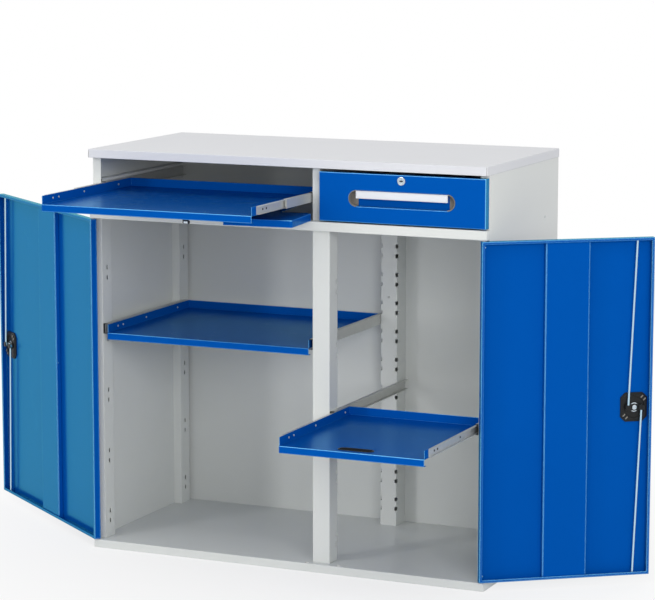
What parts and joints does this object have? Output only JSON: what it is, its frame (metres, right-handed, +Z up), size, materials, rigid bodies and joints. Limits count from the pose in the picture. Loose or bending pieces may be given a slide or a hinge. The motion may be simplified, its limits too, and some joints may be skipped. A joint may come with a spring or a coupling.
{
  "type": "computer cabinet",
  "caption": "Steel computer cabinet with a worktop, a pull-out keyboard tray with a swing-out mouse tray, a lockable drawer, pull-out shelves and lockable doors.",
  "frame": {"origin": "on the floor, in the middle of the worktop's footprint, at the lower face of the base rail", "axes": "+Z up, +X to the right when facing the doors, -Y towards the user"},
  "size_m": [1.9506, 0.821, 1.05],
  "materials": {
    "light_grey_coat": "satin powder coat",
    "blue_coat": "satin powder coat",
    "zinc_steel": "bright zinc plating",
    "black_plastic": "fine grain",
    "lock_chrome": "polished",
    "taupe_plastic": "fine grain",
    "label_white": "smooth"
  },
  "bodies": {
    "carcass": {"worktop": "light_grey_coat", "left_side_panel": "light_grey_coat", "right_side_panel": "light_grey_coat", "back_panel": "light_grey_coat", "base_pan": "light_grey_coat", "base_rail": "light_grey_coat", "mid_rail": "light_grey_coat", "intermediate_floor": "light_grey_coat", "upper_divider": "light_grey_coat", "centre_front_post": "light_grey_coat", "centre_rear_post": "light_grey_coat", "left_uprights": "light_grey_coat", "right_uprights": "light_grey_coat", "keyboard_slide_bracket": "light_grey_coat", "drawer_slide_bracket": "light_grey_coat", "hinge_pins": "zinc_steel", "keyboard_cabinet_rails": "zinc_steel", "printer_cabinet_rails": "zinc_steel", "shelf_cabinet_rails": "zinc_steel", "drawer_cabinet_rails": "zinc_steel"},
    "left_door": {"left_door_panel": "blue_coat", "left_door_stiffener": "blue_coat", "left_lock_housing": "black_plastic", "left_lock_plate": "black_plastic"},
    "left_lock": {"left_lock_cam": "black_plastic", "left_lock_handle": "black_plastic"},
    "left_key": {"left_key_barrel": "lock_chrome"},
    "left_upper_bolt": {"left_upper_rod": "zinc_steel"},
    "left_lower_bolt": {"left_lower_rod": "zinc_steel"},
    "right_door": {"right_door_panel": "blue_coat", "right_door_stiffener": "blue_coat", "right_lock_housing": "black_plastic", "right_lock_plate": "black_plastic"},
    "right_lock": {"right_lock_cam": "black_plastic", "right_lock_handle": "black_plastic"},
    "right_key": {"right_key_barrel": "lock_chrome"},
    "right_upper_bolt": {"right_upper_rod": "zinc_steel"},
    "right_lower_bolt": {"right_lower_rod": "zinc_steel"},
    "drawer": {"drawer_front": "blue_coat", "drawer_box": "light_grey_coat", "drawer_grip_trough": "blue_coat", "drawer_grip_caps": "taupe_plastic", "drawer_label_bar": "label_white", "drawer_runners": "zinc_steel"},
    "drawer_middle": {"drawer_middle_rails": "zinc_steel"},
    "drawer_lock": {"drawer_lock_barrel": "lock_chrome"},
    "keyboard_pullout": {"keyboard_tray": "blue_coat", "keyboard_runners": "zinc_steel", "keyboard_catch": "black_plastic", "mouse_pivot_bolt": "zinc_steel"},
    "keyboard_middle": {"keyboard_middle_rails": "zinc_steel"},
    "mouse_swivel": {"mouse_swivel_disc": "zinc_steel"},
    "mouse_swing": {"mouse_tray": "blue_coat"},
    "printer_pullout": {"printer_shelf": "blue_coat", "printer_runners": "zinc_steel"},
    "printer_middle": {"printer_middle_rails": "zinc_steel"},
    "shelf_carriage": {"shelf_carriages": "zinc_steel"},
    "shelf_pullout": {"right_shelf": "blue_coat", "shelf_runners": "zinc_steel"}
  },
  "joints": [
    {"name": "left_door_swing", "type": "hinge", "parent": "carcass", "child": "left_door", "pos_m": [-0.539, -0.253, 0.446], "axis": [0, 0, -1], "range_deg": [-217.5, 0]},
    {"name": "right_door_swing", "type": "hinge", "parent": "carcass", "child": "right_door", "pos_m": [0.539, -0.253, 0.446], "axis": [0, 0, -1], "range_deg": [0, 216.5]},
    {"name": "left_handle_turn", "type": "hinge", "parent": "left_door", "child": "left_lock", "pos_m": [-1.01818, 0.11469, 0.446], "axis": [0.6088, 0.7934, 0], "range_deg": [0, 90]},
    {"name": "left_key_turn", "type": "hinge", "parent": "left_lock", "child": "left_key", "pos_m": [-1.01818, 0.11469, 0.446], "axis": [0.6088, 0.7934, 0], "range_deg": [0, 90]},
    {"name": "left_upper_bolt_turn", "type": "hinge", "parent": "left_lock", "child": "left_upper_bolt", "pos_m": [-1.03167, 0.12504, 0.446], "axis": [0.6088, 0.7934, 0], "range_deg": [-92.31, 0]},
    {"name": "left_lower_bolt_turn", "type": "hinge", "parent": "left_lock", "child": "left_lower_bolt", "pos_m": [-1.0047, 0.10434, 0.446], "axis": [0.6088, 0.7934, 0], "range_deg": [-92.31, 0]},
    {"name": "right_handle_turn", "type": "hinge", "parent": "right_door", "child": "right_lock", "pos_m": [0.85009, -0.0228, 0.446], "axis": [-0.5948, 0.8039, 0], "range_deg": [0, 90]},
    {"name": "right_key_turn", "type": "hinge", "parent": "right_lock", "child": "right_key", "pos_m": [0.85009, -0.0228, 0.446], "axis": [-0.5948, 0.8039, 0], "range_deg": [0, 90]},
    {"name": "right_upper_bolt_turn", "type": "hinge", "parent": "right_lock", "child": "right_upper_bolt", "pos_m": [0.83643, -0.03292, 0.446], "axis": [-0.5948, 0.8039, 0], "range_deg": [-92.31, 0]},
    {"name": "right_lower_bolt_turn", "type": "hinge", "parent": "right_lock", "child": "right_lower_bolt", "pos_m": [0.86376, -0.01269, 0.446], "axis": [-0.5948, 0.8039, 0], "range_deg": [-92.31, 0]},
    {"name": "drawer_slide", "type": "slide", "parent": "carcass", "child": "drawer", "axis": [0, -1, 0], "range_m": [0, 0.4]},
    {"name": "drawer_middle_slide", "type": "slide", "parent": "carcass", "child": "drawer_middle", "axis": [0, -1, 0], "range_m": [0, 0.2]},
    {"name": "drawer_lock_turn", "type": "hinge", "parent": "drawer", "child": "drawer_lock", "pos_m": [0.32475, -0.26, 1.006], "axis": [0, -1, 0], "range_deg": [0, 90]},
    {"name": "keyboard_slide", "type": "slide", "parent": "carcass", "child": "keyboard_pullout", "axis": [0, -1, 0], "range_m": [-0.324, 0]},
    {"name": "keyboard_middle_slide", "type": "slide", "parent": "carcass", "child": "keyboard_middle", "axis": [0, -1, 0], "range_m": [-0.162, 0]},
    {"name": "mouse_swivel_turn", "type": "hinge", "parent": "keyboard_pullout", "child": "mouse_swivel", "pos_m": [-0.04, -0.15, 0.915], "axis": [0, 0, 1], "range_deg": [-65.01, 0]},
    {"name": "mouse_tray_turn", "type": "hinge", "parent": "mouse_swivel", "child": "mouse_swing", "pos_m": [-0.04, -0.15, 0.915], "axis": [0, 0, 1], "range_deg": [-30, 0]},
    {"name": "printer_slide", "type": "slide", "parent": "carcass", "child": "printer_pullout", "axis": [0, -1, 0], "range_m": [0, 0.4]},
    {"name": "printer_middle_slide", "type": "slide", "parent": "carcass", "child": "printer_middle", "axis": [0, -1, 0], "range_m": [0, 0.2]},
    {"name": "shelf_carriage_feed", "type": "slide", "parent": "carcass", "child": "shelf_carriage", "axis": [0, -1, 0], "range_m": [-0.3901, 0]},
    {"name": "shelf_slide", "type": "slide", "parent": "shelf_carriage", "child": "shelf_pullout", "axis": [0, -1, 0], "range_m": [-0.325, 0.05]}
  ],
  "couplings": [
    {"joint": "left_upper_bolt_turn", "follows": "left_handle_turn", "ratio": -1.0256},
    {"joint": "left_lower_bolt_turn", "follows": "left_handle_turn", "ratio": -1.0256},
    {"joint": "right_upper_bolt_turn", "follows": "right_handle_turn", "ratio": -1.0256},
    {"joint": "right_lower_bolt_turn", "follows": "right_handle_turn", "ratio": -1.0256},
    {"joint": "drawer_middle_slide", "follows": "drawer_slide", "ratio": 0.5},
    {"joint": "keyboard_middle_slide", "follows": "keyboard_slide", "ratio": 0.5},
    {"joint": "mouse_swivel_turn", "follows": "keyboard_slide", "rad_per_m": 3.5014},
    {"joint": "printer_middle_slide", "follows": "printer_slide", "ratio": 0.5},
    {"joint": "shelf_carriage_feed", "follows": "right_door_swing", "m_per_rad": -0.10321}
  ]
}
